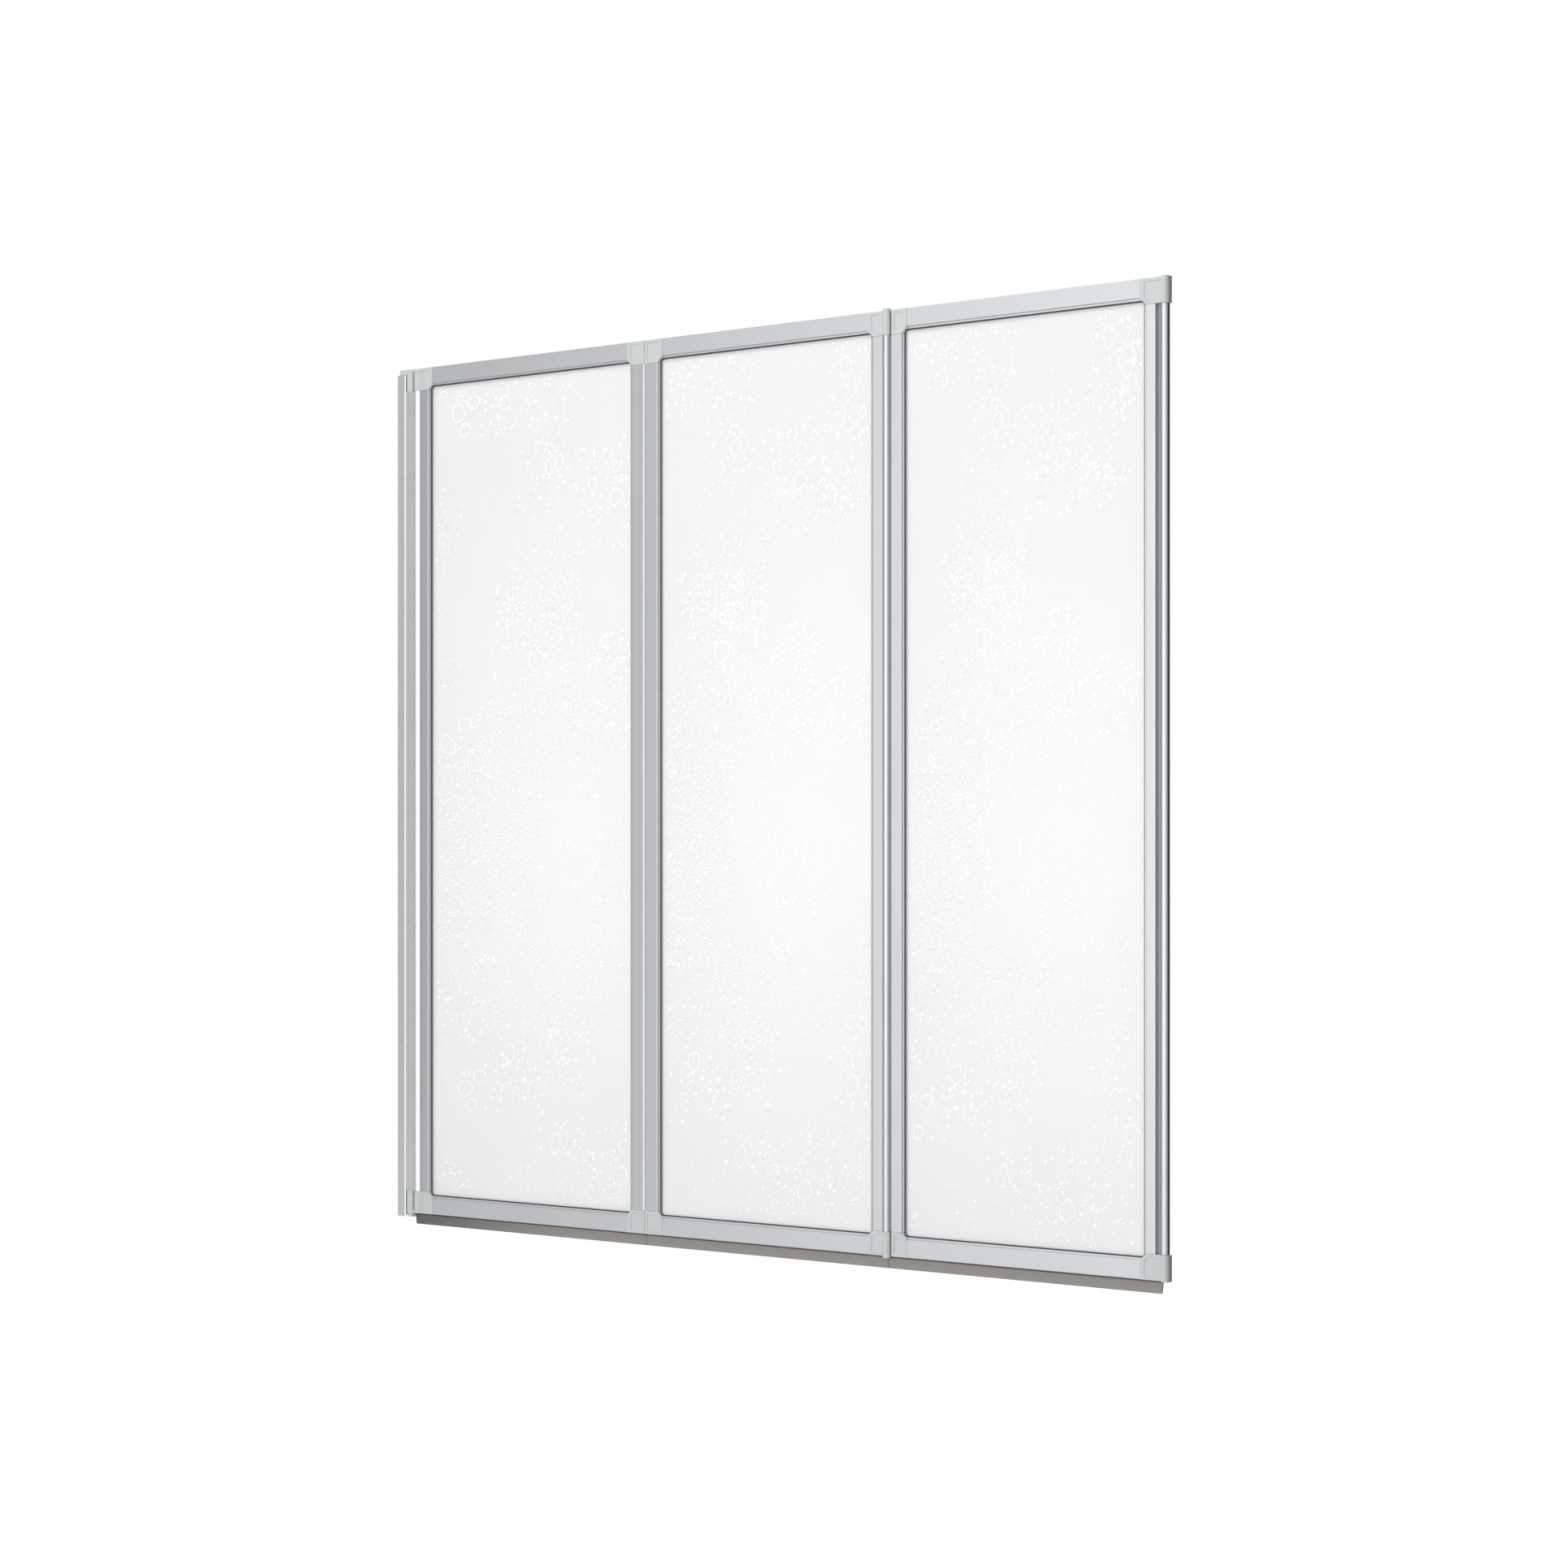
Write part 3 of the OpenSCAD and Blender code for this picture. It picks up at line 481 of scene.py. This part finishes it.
pattern = sheet_pattern()
for n, start, stretch in CUTS:
    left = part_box("panel_%d_left_stile" % n)[1].x
    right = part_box("panel_%d_right_stile" % n)[0].x
    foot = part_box("panel_%d_bottom_rail" % n)[1].z
    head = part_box("panel_%d_top_rail" % n)[0].z
    mesh = raindrop_mesh("panel_%d_raindrops" % n, pattern, start, stretch, right - left, head - foot)
    drops = bpy.data.objects.new("panel_%d_raindrops" % n, mesh)
    scene.collection.objects.link(drops)
    drops.location = (left, 0, head)
    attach(drops, "panel_%d" % n)


# ---------------------------------------------------------------- camera

# A plain lens with a small upward shift, which the photograph's edges fit
cam_data = bpy.data.cameras.new("camera")
cam = bpy.data.objects.new("camera", cam_data)
scene.collection.objects.link(cam)
cam.location = (3.2670, -3.3818, 0.5177)
cam.rotation_euler = (math.radians(90), 0, math.radians(37.31))
cam_data.sensor_width = 36.0
cam_data.lens = 74.73
cam_data.shift_y = 0.0448
cam_data.clip_start = 0.05
cam_data.clip_end = 100.0
scene.camera = cam


# ---------------------------------------------------------------- floor and light

FLOOR_Z = -0.56
FLOOR_REACH = 14
WHITE = (1, 1, 1)


def glowing(tree, kind, colour, strength):
    """Output of a shader that gives off light of its own."""
    node = tree.nodes.new(kind)
    feed(tree, node.inputs["Color"], colour)
    node.inputs["Strength"].default_value = strength
    return node.outputs[0]


def mixed(tree, factor, a, b):
    """Mix of two shaders."""
    mix = tree.nodes.new("ShaderNodeMixShader")
    for socket, value in zip(mix.inputs, (factor, a, b)):
        feed(tree, socket, value)
    return mix.outputs["Shader"]


def seen_as(tree, surface, white):
    """White for the camera and for what glass and gloss see, the surface for all other rays."""
    path = tree.nodes.new("ShaderNodeLightPath").outputs
    seen = maths(tree, "MAXIMUM", path["Is Camera Ray"], path["Is Transmission Ray"])
    seen = maths(tree, "MAXIMUM", seen, path["Is Glossy Ray"])
    return mixed(tree, seen, surface, white)


world = bpy.data.worlds.new("studio")
scene.world = world
world.use_nodes = True
world.cycles.sampling_method = "NONE"
sky = world.node_tree
soft = glowing(sky, "ShaderNodeBackground", WHITE, 0.45)
plain = glowing(sky, "ShaderNodeBackground", WHITE, 1.0)
sky.links.new(seen_as(sky, soft, plain), sky.nodes["World Output"].inputs["Surface"])

floor_mesh = bpy.data.meshes.new("floor")
corners = [(x * FLOOR_REACH, y * FLOOR_REACH, FLOOR_Z) for x, y in ((-1, -1), (1, -1), (1, 1), (-1, 1))]
floor_mesh.from_pydata(corners, [], [(0, 1, 2, 3)])
floor = bpy.data.objects.new("floor", floor_mesh)
scene.collection.objects.link(floor)
paint, ground, bsdf = new_material("floor")
bsdf.inputs["Base Color"].default_value = (0.80, 0.80, 0.80, 1)
bsdf.inputs["Roughness"].default_value = 0.9
matt = bsdf.outputs["BSDF"]
bright = mixed(ground, 0.85, matt, glowing(ground, "ShaderNodeEmission", WHITE, 1.14))
ground.links.new(seen_as(ground, matt, bright), ground.nodes["Material Output"].inputs["Surface"])
floor_mesh.materials.append(paint)


def soft_box(name, where, target, width, height, glow):
    """Area lamp whose face has the brightness glow, where 1 is white."""
    data = bpy.data.lights.new(name, "AREA")
    data.shape = "RECTANGLE"
    data.size, data.size_y = width, height
    data.energy = glow * math.pi * width * height
    lamp = bpy.data.objects.new(name, data)
    scene.collection.objects.link(lamp)
    lamp.location = where
    lamp.rotation_euler = (Vector(target) - Vector(where)).to_track_quat("-Z", "Y").to_euler()


def board(name, x0, y0, x1, y1, top, grey, shades=False):
    """Upright card that the gloss of the metal sees. One that shades keeps soft light off as well."""
    foot = FLOOR_Z + 0.01
    mesh = bpy.data.meshes.new(name)
    mesh.from_pydata([(x0, y0, foot), (x1, y1, foot), (x1, y1, top), (x0, y0, top)], [], [(0, 1, 2, 3)])
    obj = bpy.data.objects.new(name, mesh)
    scene.collection.objects.link(obj)
    m, tree, _ = new_material(name)
    flat = glowing(tree, "ShaderNodeEmission", (grey, grey, grey), 1.0)
    tree.links.new(flat, tree.nodes["Material Output"].inputs["Surface"])
    mesh.materials.append(m)
    obj.visible_camera = False
    obj.visible_diffuse = shades
    obj.visible_transmission = False
    obj.visible_shadow = False


soft_box("key", (-0.5, -3.0, 0.65), (-0.5, 0, 0.65), 2.2, 3.4, 1.0)
soft_box("fill", (1.65, -3.2, 0.65), (1.65, 0, 0.65), 2.0, 3.4, 2.0)
soft_box("side", (4.0, -1.9, 0.9), (0.9, 0, 0.6), 1.6, 3.0, 0.25)
soft_box("top", (0.6, -1.3, 2.9), (0.64, 0, 0.9), 2.0, 0.8, 3.6)
soft_box("back", (-0.8, 3.4, 1.4), (0.5, 0, 0.6), 2.2, 2.0, 2.9)
board("grey_board", -1.62, -3.0, -4.6, -1.2, 3.0, 0.60)
board("dark_board", 1.0, 8.0, 7.1, 8.0, 4.5, 0.01)
board("end_board", 1.31, 0.25, 1.9, -0.08, 1.6, 0.01, shades=True)
